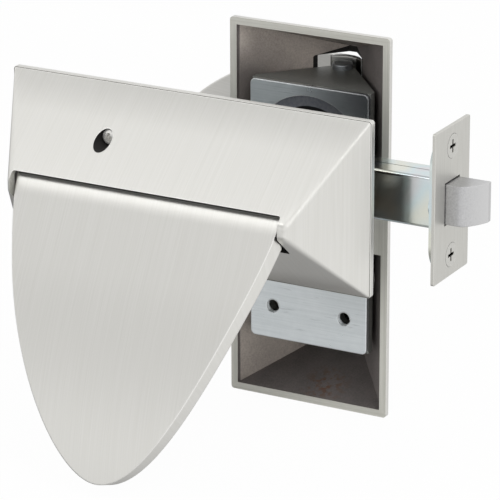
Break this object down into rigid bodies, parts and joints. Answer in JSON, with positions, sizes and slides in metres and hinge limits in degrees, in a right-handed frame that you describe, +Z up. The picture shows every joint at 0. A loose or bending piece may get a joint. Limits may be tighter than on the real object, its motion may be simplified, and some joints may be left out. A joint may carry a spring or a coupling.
{
  "type": "push pull paddle latch set",
  "caption": "Push and pull paddle latch set for a hinged door: hooded trims on both faces turn a square spindle that draws in a tubular spring latch.",
  "frame": {"origin": "on the spindle axis, in the middle of the door's thickness", "axes": "+X to the door's edge and the bolt, +Y along the spindle from the push side to the pull side, +Z up"},
  "size_m": [0.1821, 0.1906, 0.1492],
  "materials": {
    "satin_nickel": "satin brushed nickel over a casting",
    "zinc_plate": "bright zinc plated sheet steel",
    "blackened_steel": "black oxide, satin",
    "dark_polished_steel": "dark polished steel",
    "bright_screw": "nickel plated, polished",
    "sintered_steel": "sintered steel, blasted pale grey",
    "spring_wire": "drawn music wire",
    "plain_steel": "cold drawn bar"
  },
  "bodies": {
    "frame": {"front_escutcheon": "satin_nickel", "front_mounting_plate": "zinc_plate", "front_pivot_bracket": "blackened_steel", "front_pivot_pin": "dark_polished_steel", "front_pin_clip": "dark_polished_steel", "front_escutcheon_screw": "bright_screw", "rear_escutcheon": "satin_nickel", "rear_mounting_plate": "zinc_plate", "rear_pivot_bracket": "blackened_steel", "rear_pivot_pin": "dark_polished_steel", "rear_pin_clip": "dark_polished_steel", "rear_escutcheon_screw": "bright_screw", "faceplate": "satin_nickel", "latch_backplate": "zinc_plate", "faceplate_screws": "bright_screw", "latch_case_front_half": "zinc_plate", "latch_case_rear_half": "zinc_plate", "spring_stop": "zinc_plate", "latch_spring": "spring_wire"},
    "push_paddle": {"front_paddle": "satin_nickel"},
    "pull_paddle": {"rear_paddle": "satin_nickel"},
    "turning_gear": {"spindle": "plain_steel", "front_hub": "blackened_steel", "rear_hub": "blackened_steel", "retractor_cam": "sintered_steel"},
    "bolt_unit": {"latch_bolt": "sintered_steel", "bolt_tail": "zinc_plate"}
  },
  "joints": [
    {"name": "front_paddle_pivot", "type": "hinge", "parent": "frame", "child": "push_paddle", "pos_m": [-0.0244, -0.04972, 0], "axis": [1, 0, 0], "range_deg": [0, 15], "stiffness_Nm_per_rad": 0.5, "springref_deg": -34.38},
    {"name": "rear_paddle_pivot", "type": "hinge", "parent": "frame", "child": "pull_paddle", "pos_m": [0, 0.04972, -0.0244], "axis": [0, 0, 1], "range_deg": [-15, 0]},
    {"name": "spindle_turn", "type": "hinge", "parent": "frame", "child": "turning_gear", "pos_m": [0, 0, 0], "axis": [0, 1, 0], "range_deg": [0, 60]},
    {"name": "bolt_slide", "type": "slide", "parent": "frame", "child": "bolt_unit", "axis": [-1, 0, 0], "range_m": [0, 0.0127], "deforming": ["latch_spring"]}
  ],
  "couplings": [
    {"joint": "rear_paddle_pivot", "follows": "front_paddle_pivot", "ratio": -1},
    {"joint": "spindle_turn", "follows": "front_paddle_pivot", "ratio": 4},
    {"joint": "bolt_slide", "follows": "front_paddle_pivot", "m_per_rad": 0.04851}
  ]
}
